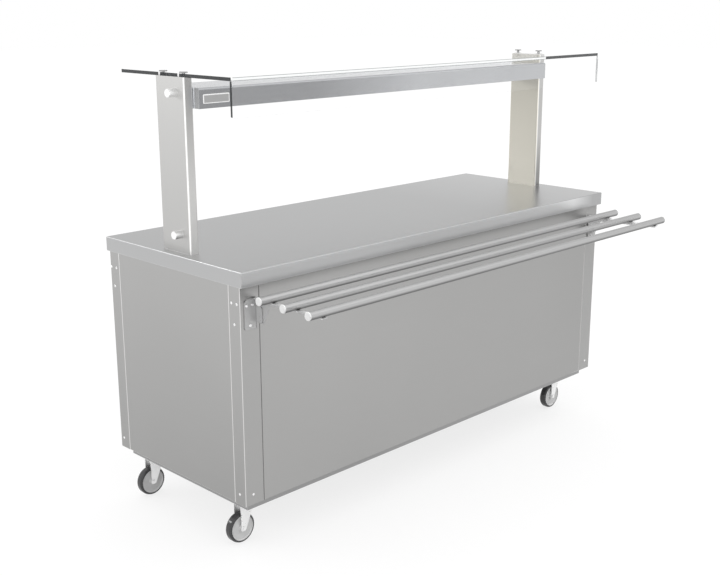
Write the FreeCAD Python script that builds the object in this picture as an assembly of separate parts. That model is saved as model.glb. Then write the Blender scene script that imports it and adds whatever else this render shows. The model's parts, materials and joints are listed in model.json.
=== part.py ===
import FreeCAD, Part
import math
import os

# An ambient serving cupboard: a folded stainless counter on four castors, with a glass gantry
# on the worktop, a fold-down tray rail on the customer side and sliding doors on the other.
# Millimetres, Z up, X along the counter. The customer side faces -Y. The origin lies on the
# floor under the middle of the whole footprint, tray rail included.

# Worktop
worktop_length = 1800.0
worktop_depth = 685.0
worktop_height = 900.0
worktop_sheet = 1.5
worktop_bend = 3.0
apron_depth = 46.0
end_overhang = 4.0
front_overhang = 15.0
rear_overhang = 10.0
stiffener_depth = 25.0
stiffener_width = 60.0
stiffener_lip = 12.0
stiffener_pitch = 800.0

# Body
body_bottom = 179.5
panel_sheet = 1.2
panel_bend = 2.4
panel_return = 15.0
post_front_leg = 70.0
post_end_leg = 50.0
seam = 0.4

# Base pan, bearers and mid shelf
base_bottom = 152.0
base_floor = 204.0
base_inset = 26.0
base_sheet = 1.5
bearer_width = 104.0
bearer_gap = 1.5
shelf_height = 540.0
shelf_fold = 25.0
shelf_lap = 14.0
shelf_clearance = 1.5

# Doors and tracks
door_thickness = 18.0
door_sheet = 1.0
door_overlap = 24.0
door_edge_gap = 2.0
header_drop = 62.0
track_wall = 2.0
track_channel = 20.0
top_track_depth = 14.0
bottom_track_depth = 9.5
track_lip_gap = 2.0
glide_length = 40.0
glide_inset = 60.0
glide_gap = 0.4
pull_width = 120.0
pull_height = 44.0
pull_depth = 13.0
pull_rim = 7.0
pull_rim_thickness = 1.5
pull_corner = 8.0
pull_gap = 0.3
pull_from_edge = 92.0
pull_lift = 80.0

# Gantry
upright_inset = 30.0
upright_thickness = 33.0
upright_width = 140.0
upright_height = 520.0
upright_wall = 1.5
upright_bend = 7.0
stud_radius = 12.5
stud_length = 29.0
stud_chamfer = 1.5
stud_offset = 27.0
stud_low = 58.0
stud_high = 475.0
pad_thickness = 2.0
pad_radius = 14.0
glass_thickness = 10.0
glass_end_inset = 17.5
glass_front_reach = 306.0
glass_rear_reach = 229.0
glass_corner = 6.0
front_glass_thickness = 8.0
front_glass_drop = 111.0
glass_bond = 0.3
fixing_spread = 100.0
fixing_radius = 12.5
fixing_height = 3.0
fixing_edge = 1.0
fixing_shank = 5.0
fixing_reach = 8.0
fixing_clearance = 0.3
glass_hole_clearance = 1.0

# Canopy and lights
canopy_depth = 194.0
canopy_height = 60.0
canopy_below_top = 30.0
canopy_sheet = 1.5
canopy_round = 8.0
canopy_lip = 12.0
diffuser_thickness = 3.0
diffuser_clearance = 0.5
strip_width = 20.0
strip_height = 9.0
strip_spread = 92.0
strip_end_gap = 60.0
driver_length = 160.0
driver_width = 42.0
driver_height = 28.0
driver_from_end = 176.0
driver_edge = 3.0
switch_width = 22.0
switch_height = 30.0
switch_flange = 2.5
switch_flange_thickness = 2.0
switch_depth = 14.0
switch_wall = 2.5
switch_gap = 0.4
switch_from_upright = 92.0
rocker_tilt = 8.0
rocker_pivot_depth = 3.0
rocker_rise = 2.4
rocker_pin_radius = 1.2
rocker_pin_reach = 1.2

# Tray rail
tube_radius = 12.5
tube_wall = 1.5
tube_end_inset = 5.0
tube_drop = 71.0
tube_first = 84.0
tube_pitch = 101.0
tube_seat = 0.2
cap_thickness = 3.0
cap_edge = 1.0
cap_spigot = 12.0
cap_clearance = 0.2
bracket_sheet = 3.0
bracket_bend = 4.5
bracket_from_end = 14.0
plate_width = 45.0
plate_below_apron = 40.0
plate_height = 89.0
plate_corner = 12.0
lug_reach = 29.0
lug_below_pivot = 13.0
lug_above_pivot = 36.0
lug_corner = 8.0
arm_gap = 0.5
arm_flange = 17.0
arm_clear = 5.0
arm_tip = 10.0
arm_tip_depth = 6.0
arm_web = 16.0
arm_heel = 13.0
arm_neck = 42.0
arm_neck_corner = 10.0
pivot_above_plate = 30.0
pivot_radius = 4.0
pivot_head = 7.0
pivot_head_length = 3.0

# Castors
wheel_radius = 49.0
wheel_width = 26.0
rim_radius = 41.0
tyre_shoulder = 6.0
tyre_gap = 0.05
hub_radius = 13.0
hub_width = 30.0
wheel_dish = 2.5
castor_trail = 12.0
front_castor_setback = 120.5
castor_plate_length = 92.0
castor_plate_depth = 60.0
castor_plate_thickness = 3.0
castor_plate_corner = 8.0
swivel_boss_radius = 22.0
swivel_boss_height = 8.0
swivel_gap = 0.4
fork_head_radius = 28.0
fork_head_height = 8.0
fork_sheet = 3.0
fork_bend = 6.0
fork_clearance = 0.6
fork_eye = 8.5
kingpin_radius = 6.0
axle_radius = 4.0
axle_head = 6.5
axle_head_length = 4.0
running_gap = 0.05

# Mains inlet in a rear post
inlet_width = 28.0
inlet_height = 48.0
inlet_flange = 3.0
inlet_body_gap = 0.3
inlet_rim = 5.0
inlet_depth = 24.0
inlet_socket_width = 17.0
inlet_socket_height = 25.0
inlet_socket_depth = 15.0
inlet_above_bottom = 92.0

# A cut runs this far past the face that it opens, and points this near are one
past = 1.0
same_place = 1e-6

# Where the main faces lie
rail_reach = tube_first + 2 * tube_pitch + tube_radius
footprint_depth = rail_reach + worktop_depth - front_overhang
front_y = rail_reach - footprint_depth / 2
worktop_front_y = front_y - front_overhang
worktop_rear_y = footprint_depth / 2
rear_y = worktop_rear_y - rear_overhang
middle_y = (worktop_front_y + worktop_rear_y) / 2
side_x = worktop_length / 2 - end_overhang
opening_x = side_x - post_front_leg
under_z = worktop_height - worktop_sheet
gantry_outer_x = worktop_length / 2 - upright_inset
gantry_inner_x = gantry_outer_x - upright_thickness
gantry_x = (gantry_outer_x + gantry_inner_x) / 2
upright_top = worktop_height + upright_height
glass_bottom = upright_top + pad_thickness
glass_top = glass_bottom + glass_thickness
glass_half = worktop_length / 2 - glass_end_inset
canopy_top = upright_top - canopy_below_top
canopy_bottom = canopy_top - canopy_height
base_x = side_x - base_inset
base_front_y = front_y + base_inset
base_rear_y = rear_y - base_inset
sill_top = base_floor + panel_sheet
track_top = under_z - panel_sheet
track_pitch = track_channel + track_wall
track_face_y = rear_y - panel_sheet
track_span = 2 * track_pitch + track_wall
track_half = opening_x - seam
flange_depth = panel_sheet + track_span + panel_return
tube_half = worktop_length / 2 - tube_end_inset
tube_height = worktop_height - tube_drop
plate_top = worktop_height - apron_depth - plate_below_apron
plate_bottom = plate_top - plate_height
pivot_y = front_y - arm_clear - arm_heel
pivot_height = plate_bottom + pivot_above_plate
castor_x = base_x - base_sheet - bearer_gap - bearer_width / 2
castor_front_y = front_y + front_castor_setback
castor_rear_y = base_rear_y - base_sheet - castor_plate_depth / 2

AXES = {"x": FreeCAD.Vector(1, 0, 0), "y": FreeCAD.Vector(0, 1, 0), "z": FreeCAD.Vector(0, 0, 1)}


def point(axis, a, b, level):
    """A point at a level along one axis, from its two other coordinates in X, Y, Z order."""
    if axis == "x":
        return FreeCAD.Vector(level, a, b)
    if axis == "y":
        return FreeCAD.Vector(a, level, b)
    return FreeCAD.Vector(a, b, level)


def outline(corners, axis, level):
    """A flat face from corners (a, b, radius), with each corner rounded by its radius."""
    places = [point(axis, a, b, level) for a, b, radius in corners]
    count = len(corners)
    edges = []
    first = last = None
    for i in range(count):
        before = (places[i] - places[i - 1]).normalize()
        after = (places[(i + 1) % count] - places[i]).normalize()
        half_turn = before.getAngle(after) / 2
        setback = corners[i][2] * math.tan(half_turn)
        start = places[i] - before * setback
        end = places[i] + after * setback
        if last is not None and last.distanceToPoint(start) > same_place:
            edges.append(Part.LineSegment(last, start).toShape())
        if setback > 0:
            inward = (after - before).normalize()
            rise = corners[i][2] * (1 / math.cos(half_turn) - 1)
            edges.append(Part.Arc(start, places[i] + inward * rise, end).toShape())
        first = start if first is None else first
        last = end
    if last.distanceToPoint(first) > same_place:
        edges.append(Part.LineSegment(last, first).toShape())
    return Part.Face(Part.Wire(edges))


def plate(corners, axis, start, end):
    """A solid of one outline, from start to end along an axis."""
    return outline(corners, axis, start).extrude(AXES[axis] * (end - start))


def folded(points, sheet, bend, axis, start, end):
    """A folded sheet: points run along one surface, with the metal on their left."""
    spans = [(b[0] - a[0], b[1] - a[1]) for a, b in zip(points, points[1:])]
    lengths = [math.hypot(*span) for span in spans]
    normals = [(-span[1] / size, span[0] / size) for span, size in zip(spans, lengths)]
    near = []
    far = []
    for i, (a, b) in enumerate(points):
        one = normals[max(i - 1, 0)]
        two = normals[min(i, len(normals) - 1)]
        share = sheet / (1 + one[0] * two[0] + one[1] * two[1])
        turn = one[0] * two[1] - one[1] * two[0]
        near_radius = 0 if turn == 0 else bend if turn > 0 else bend - sheet
        far_radius = 0 if turn == 0 else bend - sheet if turn > 0 else bend
        near.append((a, b, near_radius))
        far.append((a + (one[0] + two[0]) * share, b + (one[1] + two[1]) * share, far_radius))
    return plate(near + far[::-1], axis, start, end)


def box(low, high):
    """A block between two corners."""
    size = [high[i] - low[i] for i in range(3)]
    return Part.makeBox(size[0], size[1], size[2], FreeCAD.Vector(*low))


def rounded_box(low, high, radius, axis):
    """A block with its four edges along one axis rounded."""
    a, b = [i for i in range(3) if i != "xyz".index(axis)]
    level = "xyz".index(axis)
    near_side = [(low[a], low[b], radius), (high[a], low[b], radius)]
    far_side = [(high[a], high[b], radius), (low[a], high[b], radius)]
    return plate(near_side + far_side, axis, low[level], high[level])


def edges_on(shape, axis, level):
    """The edges of a shape that lie in the plane at a level along one axis."""
    k = "xyz".index(axis)
    return [edge for edge in shape.Edges
            if all(abs(v.Point[k] - level) < same_place for v in edge.Vertexes)]


def tray(low, high, axis, side, sheet, bend):
    """A folded pan, closed on the low (-1) or high (+1) side of an axis and open on the other."""
    k = "xyz".index(axis)
    closed_level = high[k] if side > 0 else low[k]
    outer = box(low, high)
    outer = outer.makeFillet(bend, edges_on(outer, axis, closed_level))
    inner_low = [value + sheet for value in low]
    inner_high = [value - sheet for value in high]
    if side > 0:
        inner_low[k] = low[k] - past
    else:
        inner_high[k] = high[k] + past
    return outer.cut(box(inner_low, inner_high))


def cylinder(axis, centre, start, end, radius):
    """A round bar along an axis, from start to end, about the centre in the two other coordinates."""
    return Part.makeCylinder(radius, end - start, point(axis, centre[0], centre[1], start), AXES[axis])


def mirrored_x(shape):
    """The same piece on the other end of the counter."""
    return shape.mirror(FreeCAD.Vector(0, 0, 0), AXES["x"])


def fuse_all(shapes):
    """One solid from pieces that touch."""
    return shapes[0].multiFuse(shapes[1:]).removeSplitter()


def save(name, *solids):
    """Writes one node, which holds one solid or a group of separate ones."""
    shape = solids[0] if len(solids) == 1 else Part.makeCompound(list(solids))
    shape.exportStep("parts/" + name + ".step")


def worktop():
    """The top sheet with its apron folded down on all sides."""
    low = (-worktop_length / 2, worktop_front_y, worktop_height - apron_depth)
    high = (worktop_length / 2, worktop_rear_y, worktop_height)
    return tray(low, high, "z", 1, worktop_sheet, worktop_bend)


def worktop_stiffener(x):
    """A hat section across the counter, its lips against the underside of the worktop."""
    half = stiffener_width / 2
    low = under_z - stiffener_depth
    points = [
        (x + half + stiffener_lip, under_z),
        (x + half, under_z),
        (x + half, low),
        (x - half, low),
        (x - half, under_z),
        (x - half - stiffener_lip, under_z),
    ]
    start = front_y + panel_return + seam
    end = rear_y - flange_depth - seam
    return folded(points, panel_sheet, panel_bend, "y", start, end)


def corner_post():
    """The front left post: a folded angle with a return along each seam."""
    left = -side_x
    points = [
        (left + panel_return, front_y + post_end_leg),
        (left, front_y + post_end_leg),
        (left, front_y),
        (left + post_front_leg, front_y),
        (left + post_front_leg, front_y + panel_return),
    ]
    return folded(points, panel_sheet, panel_bend, "z", body_bottom, under_z)


def rear_post():
    """The rear left post, the front one turned about the middle of the body."""
    return corner_post().mirror(FreeCAD.Vector(0, (front_y + rear_y) / 2, 0), AXES["y"])


def inlet_place():
    """The middle of the mains inlet on the rear right post, along X and Z."""
    return side_x - post_front_leg / 2, body_bottom + inlet_above_bottom


def rear_post_with_inlet():
    """The rear right post, cut out for the mains inlet."""
    x, z = inlet_place()
    half_width = inlet_width / 2 - inlet_rim + inlet_body_gap
    half_height = inlet_height / 2 - inlet_rim + inlet_body_gap
    hole_low = (x - half_width, rear_y - panel_return, z - half_height)
    hole_high = (x + half_width, rear_y + past, z + half_height)
    return mirrored_x(rear_post()).cut(box(hole_low, hole_high))


def front_panel():
    """The customer side panel: a pan whose lower return runs in to the base."""
    half = opening_x - seam
    pan_low = (-half, front_y, body_bottom)
    pan_high = (half, front_y + panel_return, under_z)
    pan = tray(pan_low, pan_high, "y", -1, panel_sheet, panel_bend)
    ledge_low = (-half, front_y + panel_return, body_bottom)
    ledge = box(ledge_low, (half, base_front_y, body_bottom + panel_sheet))
    return fuse_all([pan, ledge])


def end_panel():
    """The left end panel, made like the front one."""
    low_y = front_y + post_end_leg + seam
    high_y = rear_y - post_end_leg - seam
    pan_low = (-side_x, low_y, body_bottom)
    pan_high = (-side_x + panel_return, high_y, under_z)
    pan = tray(pan_low, pan_high, "x", -1, panel_sheet, panel_bend)
    ledge_low = (-side_x + panel_return, low_y, body_bottom)
    ledge = box(ledge_low, (-base_x, high_y, body_bottom + panel_sheet))
    return fuse_all([pan, ledge])


def door_header():
    """The rail over the doors, whose top flange carries the upper track."""
    points = [(rear_y, under_z - header_drop), (rear_y, under_z), (rear_y - flange_depth, under_z)]
    return folded(points, panel_sheet, panel_bend, "x", -opening_x + seam, opening_x - seam)


def door_sill():
    """The rail under the doors, lapped over the base pan to carry the lower track."""
    points = [
        (base_rear_y, body_bottom),
        (rear_y, body_bottom),
        (rear_y, sill_top),
        (rear_y - flange_depth, sill_top),
    ]
    return folded(points, panel_sheet, panel_bend, "x", -opening_x + seam, opening_x - seam)


def door_track(web_level, lip_level):
    """A track of two channels side by side, with its web at one level and its lips at another."""
    web_inner = web_level + math.copysign(track_wall, lip_level - web_level)
    outer = track_face_y
    corners = [(outer, web_level, panel_bend), (outer, lip_level, 0)]
    for i in range(2):
        wall = outer - track_wall - i * track_pitch
        next_wall = wall - track_channel
        corners += [(wall, lip_level, 0), (wall, web_inner, 0)]
        corners += [(next_wall, web_inner, 0), (next_wall, lip_level, 0)]
    corners += [(outer - track_span, lip_level, 0), (outer - track_span, web_level, 0)]
    return plate(corners, "x", -track_half, track_half)


def base_pan():
    """The cupboard's floor, folded down on all sides into the base that the castors carry."""
    low = (-base_x, base_front_y, base_bottom)
    high = (base_x, base_rear_y, base_floor)
    return tray(low, high, "z", 1, base_sheet, worktop_bend)


def castor_bearer():
    """The left channel across the inside of the base pan, over two castors."""
    half = bearer_width / 2
    roof = base_floor - base_sheet
    points = [
        (-castor_x - half, roof),
        (-castor_x - half, base_bottom),
        (-castor_x + half, base_bottom),
        (-castor_x + half, roof),
    ]
    start = base_front_y + base_sheet
    return folded(points, base_sheet, worktop_bend, "y", start, base_rear_y - base_sheet)


def shelf_half_length():
    """Half the mid shelf's length, which clears the returns on the end panels."""
    return side_x - panel_return - shelf_clearance


def shelf_front_y():
    """The mid shelf's front edge, which clears the returns on the front panel."""
    return front_y + panel_return + shelf_clearance


def mid_shelf():
    """The loose shelf, folded down on all sides."""
    half = shelf_half_length()
    low = (-half, shelf_front_y(), shelf_height - shelf_fold)
    high = (half, track_face_y - track_span - shelf_clearance, shelf_height)
    return tray(low, high, "z", 1, panel_sheet, panel_bend)


def shelf_angles():
    """Angles under the shelf: one on each end panel and one on the front panel."""
    seat = shelf_height - shelf_fold
    wall = -side_x + panel_sheet
    reach = -shelf_half_length() + shelf_lap
    end_points = [(wall, seat - shelf_fold), (wall, seat), (reach, seat)]
    start = front_y + post_end_leg + seam + panel_return
    end = rear_y - post_end_leg - seam - panel_return
    left = folded(end_points[::-1], panel_sheet, panel_bend, "y", start, end)
    wall_y = front_y + panel_sheet
    front_points = [(wall_y, seat - shelf_fold), (wall_y, seat), (shelf_front_y() + shelf_lap, seat)]
    half = opening_x - seam - panel_return
    front = folded(front_points[::-1], panel_sheet, panel_bend, "x", -half, half)
    return left, mirrored_x(left), front


def door(side):
    """A sliding door: its folded skin, its recessed pull and its nylon glides."""
    channel_y = track_face_y - track_wall - track_channel / 2
    middle = channel_y if side < 0 else channel_y - track_pitch
    face_y = middle + door_thickness / 2
    lower = sill_top + bottom_track_depth + track_lip_gap
    upper = track_top - top_track_depth - track_lip_gap
    closed_edge = opening_x - door_edge_gap
    low = (-closed_edge, face_y - door_thickness, lower)
    high = (door_overlap / 2, face_y, upper)
    skin = tray(low, high, "y", 1, door_sheet, panel_bend)
    pull_x = -closed_edge + pull_from_edge
    pull_z = (lower + upper) / 2 + pull_lift
    half_width = pull_width / 2 + pull_gap
    half_height = pull_height / 2 + pull_gap
    hole_low = (pull_x - half_width, face_y - door_sheet - past, pull_z - half_height)
    hole_high = (pull_x + half_width, face_y + past, pull_z + half_height)
    skin = skin.cut(rounded_box(hole_low, hole_high, pull_corner, "y"))
    pull = door_pull(pull_x, face_y, pull_z)
    glides = []
    glide_half = track_channel / 2 - glide_gap
    roof = track_top - track_wall - track_lip_gap
    floor = sill_top + track_wall + glide_gap
    for x in (low[0] + glide_inset, high[0] - glide_inset):
        for bottom, top in ((upper, roof), (floor, lower)):
            corner_low = (x - glide_length / 2, middle - glide_half, bottom)
            corner_high = (x + glide_length / 2, middle + glide_half, top)
            glides.append(rounded_box(corner_low, corner_high, track_wall, "z"))
    if side > 0:
        return mirrored_x(skin), mirrored_x(pull), [mirrored_x(glide) for glide in glides]
    return skin, pull, glides


def door_pull(x, face_y, z):
    """A recessed finger pull: a pressed cup with a flat rim on the door's face."""
    half_width = pull_width / 2
    half_height = pull_height / 2
    rim_low = (x - half_width - pull_rim, face_y, z - half_height - pull_rim)
    rim_high = (x + half_width + pull_rim, face_y + pull_rim_thickness, z + half_height + pull_rim)
    rim = rounded_box(rim_low, rim_high, pull_corner, "y")
    cup_low = (x - half_width, face_y - pull_depth, z - half_height)
    cup_high = (x + half_width, face_y + pull_rim_thickness, z + half_height)
    cup = rounded_box(cup_low, cup_high, pull_corner, "y")
    wall = door_sheet
    space_low = [value + wall for value in cup_low]
    space_high = [cup_high[0] - wall, cup_high[1] + past, cup_high[2] - wall]
    space = rounded_box(space_low, space_high, pull_corner - wall, "y")
    return fuse_all([rim, cup]).cut(space)


def upright():
    """The left upright: a closed folded column with rounded corners and two holes in its top."""
    half = upright_width / 2
    low = (-gantry_outer_x, middle_y - half, worktop_height)
    high = (-gantry_inner_x, middle_y + half, upright_top)
    outer = rounded_box(low, high, upright_bend, "z")
    inner_low = [value + upright_wall for value in low]
    inner_high = [value - upright_wall for value in high]
    column = outer.cut(rounded_box(inner_low, inner_high, upright_bend - upright_wall, "z"))
    radius = fixing_shank + fixing_clearance
    for y in fixing_rows():
        hole = cylinder("z", (-gantry_x, y), upright_top - 2 * upright_wall, upright_top + past, radius)
        column = column.cut(hole)
    return column


def fixing_rows():
    """Where the glass fixings stand along Y."""
    return middle_y - fixing_spread / 2, middle_y + fixing_spread / 2


def fixing_places():
    """The four glass fixings, two over each upright."""
    return [(x, y) for x in (-gantry_x, gantry_x) for y in fixing_rows()]


def end_studs():
    """Round studs on the outer faces of the uprights, for clip-on end screens."""
    studs = []
    for height in (stud_low, stud_high):
        centre = (middle_y - stud_offset, worktop_height + height)
        outer_end = -gantry_outer_x - stud_length
        stud = cylinder("x", centre, outer_end, -gantry_outer_x, stud_radius)
        stud = stud.makeChamfer(stud_chamfer, edges_on(stud, "x", outer_end))
        studs += [stud, mirrored_x(stud)]
    return studs


def canopy_section(inset):
    """The canopy's outline across the counter, round at the top and drawn in by an inset."""
    half = canopy_depth / 2 - inset
    bottom = canopy_bottom + inset
    top = canopy_top - inset
    radius = canopy_round - inset
    return [
        (middle_y - half, bottom, 0),
        (middle_y + half, bottom, 0),
        (middle_y + half, top, radius),
        (middle_y - half, top, radius),
    ]


def canopy():
    """The light housing between the uprights, open below between two lips."""
    half = gantry_inner_x
    inner_half = half - canopy_sheet
    shell = plate(canopy_section(0), "x", -half, half)
    shell = shell.cut(plate(canopy_section(canopy_sheet), "x", -inner_half, inner_half))
    slot_half = canopy_depth / 2 - canopy_lip
    slot_low = (-inner_half, middle_y - slot_half, canopy_bottom - past)
    slot_high = (inner_half, middle_y + slot_half, canopy_bottom + canopy_sheet + past)
    shell = shell.cut(box(slot_low, slot_high))
    x, z = switch_place()
    half_width = switch_width / 2
    half_height = switch_height / 2
    rear = middle_y + canopy_depth / 2
    hole_low = (x - half_width, rear - canopy_sheet - past, z - half_height)
    hole_high = (x + half_width, rear + past, z + half_height)
    return shell.cut(box(hole_low, hole_high))


def light_diffuser():
    """The opal strip that lies on the canopy's lips."""
    half = gantry_inner_x - canopy_sheet - diffuser_clearance
    half_depth = canopy_depth / 2 - canopy_sheet - diffuser_clearance
    bottom = canopy_bottom + canopy_sheet
    low = (-half, middle_y - half_depth, bottom)
    high = (half, middle_y + half_depth, bottom + diffuser_thickness)
    return box(low, high)


def light_strips():
    """Two light strips with sloped sides under the canopy's top."""
    roof = canopy_top - canopy_sheet
    half = gantry_inner_x - strip_end_gap
    strips = []
    for y in (middle_y - strip_spread / 2, middle_y + strip_spread / 2):
        corners = [
            (y - strip_width / 2, roof, 0),
            (y - strip_width / 4, roof - strip_height, 0),
            (y + strip_width / 4, roof - strip_height, 0),
            (y + strip_width / 2, roof, 0),
        ]
        strips.append(plate(corners, "x", -half, half))
    return strips


def light_driver():
    """The driver for the light strips, between them under the canopy's top."""
    roof = canopy_top - canopy_sheet
    end = gantry_inner_x - driver_from_end
    low = (end - driver_length, middle_y - driver_width / 2, roof - driver_height)
    high = (end, middle_y + driver_width / 2, roof)
    return rounded_box(low, high, driver_edge, "z")


def switch_place():
    """The middle of the light switch on the canopy's rear face, along X and Z."""
    return -gantry_inner_x + switch_from_upright, (canopy_bottom + canopy_top) / 2


def switch_bezel():
    """The switch's frame: a flange on the canopy's rear face and a body through its cut-out."""
    x, z = switch_place()
    rear = middle_y + canopy_depth / 2
    half_width = switch_width / 2
    half_height = switch_height / 2
    rim = switch_flange
    flange_low = (x - half_width - rim, rear, z - half_height - rim)
    flange_high = (x + half_width + rim, rear + switch_flange_thickness, z + half_height + rim)
    flange = rounded_box(flange_low, flange_high, rim, "y")
    gap = switch_gap
    body_low = (x - half_width + gap, rear - switch_depth, z - half_height + gap)
    body_high = (x + half_width - gap, rear, z + half_height - gap)
    wall = switch_wall
    space_low = (body_low[0] + wall, body_low[1] + wall, body_low[2] + wall)
    space_high = (body_high[0] - wall, rear + switch_flange_thickness + past, body_high[2] - wall)
    bezel = fuse_all([flange, box(body_low, body_high)]).cut(box(space_low, space_high))
    return bezel.cut(rocker_pin(rocker_pin_reach + 2 * switch_gap, rocker_pin_radius + running_gap))


def rocker_axis():
    """The rocker's pivot line, along Y and Z."""
    return middle_y + canopy_depth / 2 + switch_flange_thickness - rocker_pivot_depth, switch_place()[1]


def rocker_half_width():
    """Half the rocker's width, inside the bezel's walls."""
    return switch_width / 2 - switch_gap - switch_wall - switch_gap


def rocker_pin(reach, radius):
    """A round pin on the rocker's pivot line that runs past both of its sides."""
    x = switch_place()[0]
    half = rocker_half_width() + reach
    return cylinder("x", rocker_axis(), x - half, x + half, radius)


def switch_rocker():
    """The rocker, with a shallow hollow between its two ends, tipped to one side at rest."""
    x = switch_place()[0]
    pivot, level = rocker_axis()
    half_width = rocker_half_width()
    reach = switch_height / 2 - switch_gap - switch_wall - 3 * switch_gap
    crest = pivot + rocker_pivot_depth
    back = pivot - rocker_pivot_depth
    corners = [
        (crest, level, 0),
        (crest + rocker_rise, level + reach, 0),
        (pivot, level + reach, 0),
        (back, level, 0),
        (pivot, level - reach, 0),
        (crest + rocker_rise, level - reach, 0),
    ]
    rocker = plate(corners, "x", x - half_width, x + half_width)
    rocker.rotate(FreeCAD.Vector(x, pivot, level), AXES["x"], -rocker_tilt)
    return fuse_all([rocker, rocker_pin(rocker_pin_reach, rocker_pin_radius)])


def glass_shelf():
    """The toughened glass shelf, drilled for its four fixings."""
    low = (-glass_half, middle_y - glass_front_reach, glass_bottom)
    high = (glass_half, middle_y + glass_rear_reach, glass_top)
    pane = rounded_box(low, high, glass_corner, "z")
    radius = fixing_shank + glass_hole_clearance
    for centre in fixing_places():
        pane = pane.cut(cylinder("z", centre, glass_bottom - past, glass_top + past, radius))
    return pane


def glass_front():
    """The hanging front glass, bonded under the shelf's front edge."""
    front = middle_y - glass_front_reach
    top = glass_bottom - glass_bond
    bottom = glass_top - front_glass_drop
    half = glass_half
    corners = [(-half, bottom, glass_corner), (half, bottom, glass_corner), (half, top, 0), (-half, top, 0)]
    return plate(corners, "y", front, front + front_glass_thickness)


def glass_pads():
    """Soft washers between the uprights and the glass."""
    pads = []
    radius = fixing_shank + fixing_clearance
    for centre in fixing_places():
        pad = cylinder("z", centre, upright_top, glass_bottom, pad_radius)
        pads.append(pad.cut(cylinder("z", centre, upright_top - past, glass_bottom + past, radius)))
    return pads


def glass_fixings():
    """Round caps on the glass, each with a shank down into the upright."""
    fixings = []
    for centre in fixing_places():
        cap = cylinder("z", centre, glass_top, glass_top + fixing_height, fixing_radius)
        cap = cap.makeChamfer(fixing_edge, edges_on(cap, "z", glass_top + fixing_height))
        shank = cylinder("z", centre, upright_top - fixing_reach, glass_top, fixing_shank)
        fixings.append(fuse_all([cap, shank]))
    return fixings


def bracket_edge_x():
    """The inner side of the left bracket's lug, along X."""
    return -side_x + bracket_from_end + plate_width


def tray_plate():
    """The left bracket plate on the post, with a lug folded forward for the pivot."""
    edge = bracket_edge_x()
    top = plate_top
    points = [(edge, front_y - lug_reach), (edge, front_y), (edge - plate_width, front_y)]
    bracket = folded(points, bracket_sheet, bracket_bend, "z", plate_bottom, top)
    base = [
        (edge - plate_width, plate_bottom, plate_corner / 2),
        (edge, plate_bottom, 0),
        (edge, top, plate_corner / 2),
        (edge - plate_width, top, plate_corner),
    ]
    bracket = bracket.common(plate(base, "y", front_y - lug_reach, front_y))
    foot = front_y - bracket_bend
    lug_low = pivot_height - lug_below_pivot
    lug_high = pivot_height + lug_above_pivot
    lug = [
        (front_y, plate_bottom, 0),
        (foot, plate_bottom, 0),
        (foot, lug_low, 0),
        (front_y - lug_reach, lug_low, lug_corner),
        (front_y - lug_reach, lug_high, lug_corner),
        (foot, lug_high, 0),
        (foot, top, 0),
        (front_y, top, 0),
    ]
    bracket = bracket.common(plate(lug, "x", edge - plate_width, edge))
    return bracket.cut(pivot_hole(edge))


def pivot_hole(inner):
    """The bore for a pivot pin through a sheet whose inner side lies at one X."""
    radius = pivot_radius + running_gap
    return cylinder("x", (pivot_y, pivot_height), inner - 2 * bracket_sheet, inner + past, radius)


def tray_pivot():
    """The left pivot pin: a head outside the lug and a collar inside the arm."""
    edge = bracket_edge_x()
    centre = (pivot_y, pivot_height)
    inner = edge + arm_gap + bracket_sheet + arm_gap
    outer = edge - bracket_sheet
    return fuse_all([
        cylinder("x", centre, outer - pivot_head_length, outer, pivot_head),
        cylinder("x", centre, outer, inner, pivot_radius),
        cylinder("x", centre, inner, inner + pivot_head_length, pivot_head),
    ])


def tray_arm():
    """The left arm: a slim tapered web with a heel beside the lug, and a flange out under the tubes."""
    inner = bracket_edge_x() + arm_gap + bracket_sheet
    seat = tube_height - tube_radius - tube_seat
    heel = pivot_height - arm_heel
    rear = front_y - arm_clear
    tip = front_y - tube_first - 2 * tube_pitch - arm_tip
    section = [(inner, heel), (inner, seat), (inner - arm_flange, seat)]
    bar = folded(section, bracket_sheet, bracket_bend, "y", tip, rear)
    side = [
        (rear, heel, arm_heel),
        (rear, seat, 0),
        (tip, seat, 0),
        (tip, seat - arm_tip_depth, bracket_bend),
        (pivot_y - arm_neck, seat - arm_web, arm_neck_corner),
        (pivot_y - arm_heel, heel, arm_heel / 2),
    ]
    arm = bar.common(plate(side, "x", inner - arm_flange, inner))
    return arm.cut(pivot_hole(inner))


def tube_places():
    """The middle of each tray tube, along Y."""
    return [front_y - tube_first - i * tube_pitch for i in range(3)]


def tray_tube(y):
    """One tray tube, open at both ends."""
    centre = (y, tube_height)
    outer = cylinder("x", centre, -tube_half, tube_half, tube_radius)
    bore = cylinder("x", centre, -tube_half - past, tube_half + past, tube_radius - tube_wall)
    return outer.cut(bore)


def tray_tube_caps():
    """Plugs in the ends of the tubes, with a flat round face."""
    caps = []
    for y in tube_places():
        centre = (y, tube_height)
        end = -tube_half
        face = cylinder("x", centre, end - cap_thickness, end, tube_radius)
        face = face.makeChamfer(cap_edge, edges_on(face, "x", end - cap_thickness))
        spigot = cylinder("x", centre, end, end + cap_spigot, tube_radius - tube_wall - cap_clearance)
        cap = fuse_all([face, spigot])
        caps += [cap, mirrored_x(cap)]
    return caps


def castor_places():
    """Each castor's short name and the line that it swivels about."""
    return [
        ("front_left", -castor_x, castor_front_y),
        ("front_right", castor_x, castor_front_y),
        ("rear_left", -castor_x, castor_rear_y),
        ("rear_right", castor_x, castor_rear_y),
    ]


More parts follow.
